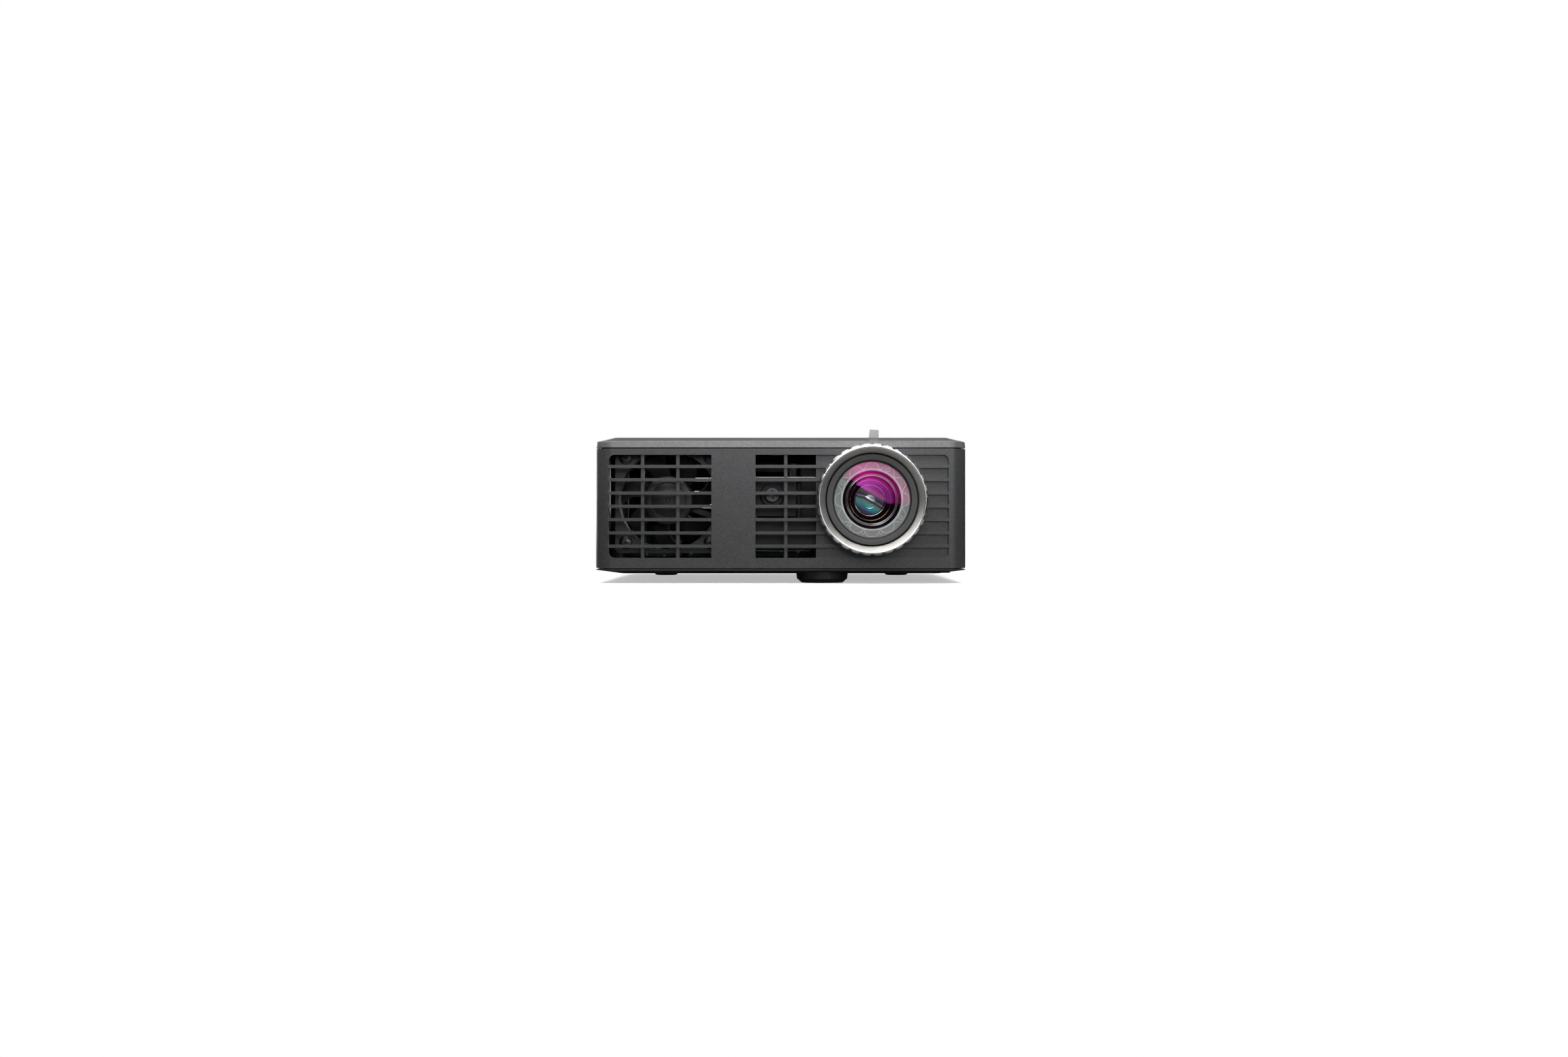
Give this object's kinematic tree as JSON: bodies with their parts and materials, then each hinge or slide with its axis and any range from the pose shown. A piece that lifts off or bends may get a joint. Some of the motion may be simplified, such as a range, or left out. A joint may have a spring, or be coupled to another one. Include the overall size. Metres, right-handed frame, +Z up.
{
  "type": "pocket projector",
  "caption": "Palm-sized video projector: a flat louvred case with a focusing lens, an adjustable tilt foot, top keys and rear sockets.",
  "frame": {"origin": "bottom centre of the bounding box: the middle of the footprint, lens ring included, at the level the feet stand on", "axes": "the lens looks along -Y, +X is to the right of someone facing the lens, +Z is up"},
  "size_m": [0.105, 0.1064, 0.0438],
  "materials": {
    "casing": "dark grey moulded plastic with a fine metallic flake",
    "casing_dark": "dark moulded plastic, lightly textured",
    "focus_ring": "satin turned ring with shallow grip notches",
    "black_plastic": "black",
    "tab": "light grey",
    "glass": "coated optical glass",
    "rubber": "matt",
    "brass": "turned",
    "steel": "plain pressed or turned",
    "aluminium": "extruded",
    "die_cast": "die cast, matt",
    "board": "green solder mask",
    "keys": "satin"
  },
  "bodies": {
    "case": {"housing": "casing", "top_cover": "casing", "base_cover": "casing_dark", "rear_panel": "casing_dark", "case_screw_front_left": "steel", "case_screw_front_right": "steel", "case_screw_rear_left": "steel", "case_screw_rear_right": "steel", "rear_foot_left": "rubber", "rear_foot_right": "rubber", "tripod_insert": "brass", "lens_mount": "die_cast", "fan_frame": "black_plastic", "engine_case": "die_cast", "engine_cover": "die_cast", "prism": "glass", "dmd_chip": "steel", "dmd_board": "board", "dmd_heat_sink": "aluminium", "heat_sink": "aluminium", "sink_bracket": "steel", "sink_screw": "steel", "led_red": "board", "led_green": "board", "led_blue": "board", "collimator_red": "glass", "collimator_green": "glass", "collimator_blue": "glass", "main_board": "board", "power_board": "board", "processor": "aluminium", "hdmi_port": "steel", "usb_port": "steel", "audio_jack": "black_plastic", "dc_jack": "black_plastic", "card_slot": "steel", "speaker": "black_plastic", "keypad_board": "board"},
    "focus_grip": {"focus_ring": "focus_ring", "focus_sleeve": "black_plastic", "focus_tab": "tab"},
    "lens_group": {"lens_barrel": "casing_dark", "lens_retainer": "black_plastic", "front_element": "glass", "element_spacer": "tab", "middle_element": "glass", "lens_baffle": "black_plastic", "rear_element": "glass"},
    "fan_rotor": {"fan_rotor": "black_plastic"},
    "tilt_stud": {"tilt_foot_stud": "steel"},
    "tilt_wheel": {"tilt_foot_wheel": "black_plastic"},
    "key_enter_body": {"key_enter": "keys"},
    "key_up_body": {"key_up": "keys"},
    "key_down_body": {"key_down": "keys"},
    "key_left_body": {"key_left": "keys"},
    "key_right_body": {"key_right": "keys"},
    "key_menu_body": {"key_menu": "keys"},
    "key_power_body": {"key_power": "keys"}
  },
  "joints": [
    {"name": "focus_turn", "type": "hinge", "parent": "case", "child": "focus_grip", "pos_m": [0.02554, -0.04675, 0.02358], "axis": [0, 1, 0], "range_deg": [-17.3, 10.7]},
    {"name": "focus_slide", "type": "slide", "parent": "case", "child": "lens_group", "axis": [0, 1, 0], "range_m": [-0.00086, 0.00053]},
    {"name": "fan_spin", "type": "hinge", "parent": "case", "child": "fan_rotor", "pos_m": [-0.03198, -0.04, 0.02354], "axis": [0, 1, 0], "continuous": true},
    {"name": "foot_slide", "type": "slide", "parent": "case", "child": "tilt_stud", "axis": [0, 0, -1], "range_m": [0, 0.004]},
    {"name": "foot_spin", "type": "hinge", "parent": "tilt_stud", "child": "tilt_wheel", "pos_m": [0.01192, -0.03555, 0], "axis": [0, 0, -1], "range_deg": [0, 1800]},
    {"name": "key_enter_press", "type": "slide", "parent": "case", "child": "key_enter_body", "axis": [0, 0, -1], "range_m": [0, 0.0004], "stiffness_N_per_m": 800, "springref_m": -0.0004},
    {"name": "key_up_press", "type": "slide", "parent": "case", "child": "key_up_body", "axis": [0, 0, -1], "range_m": [0, 0.0004], "stiffness_N_per_m": 800, "springref_m": -0.0004},
    {"name": "key_down_press", "type": "slide", "parent": "case", "child": "key_down_body", "axis": [0, 0, -1], "range_m": [0, 0.0004], "stiffness_N_per_m": 800, "springref_m": -0.0004},
    {"name": "key_left_press", "type": "slide", "parent": "case", "child": "key_left_body", "axis": [0, 0, -1], "range_m": [0, 0.0004], "stiffness_N_per_m": 800, "springref_m": -0.0004},
    {"name": "key_right_press", "type": "slide", "parent": "case", "child": "key_right_body", "axis": [0, 0, -1], "range_m": [0, 0.0004], "stiffness_N_per_m": 800, "springref_m": -0.0004},
    {"name": "key_menu_press", "type": "slide", "parent": "case", "child": "key_menu_body", "axis": [0, 0, -1], "range_m": [0, 0.0004], "stiffness_N_per_m": 800, "springref_m": -0.0004},
    {"name": "key_power_press", "type": "slide", "parent": "case", "child": "key_power_body", "axis": [0, 0, -1], "range_m": [0, 0.0004], "stiffness_N_per_m": 800, "springref_m": -0.0004}
  ],
  "couplings": [
    {"joint": "focus_turn", "follows": "focus_slide", "rad_per_m": 349.65},
    {"joint": "foot_slide", "follows": "foot_spin", "m_per_rad": 0.0001273}
  ]
}
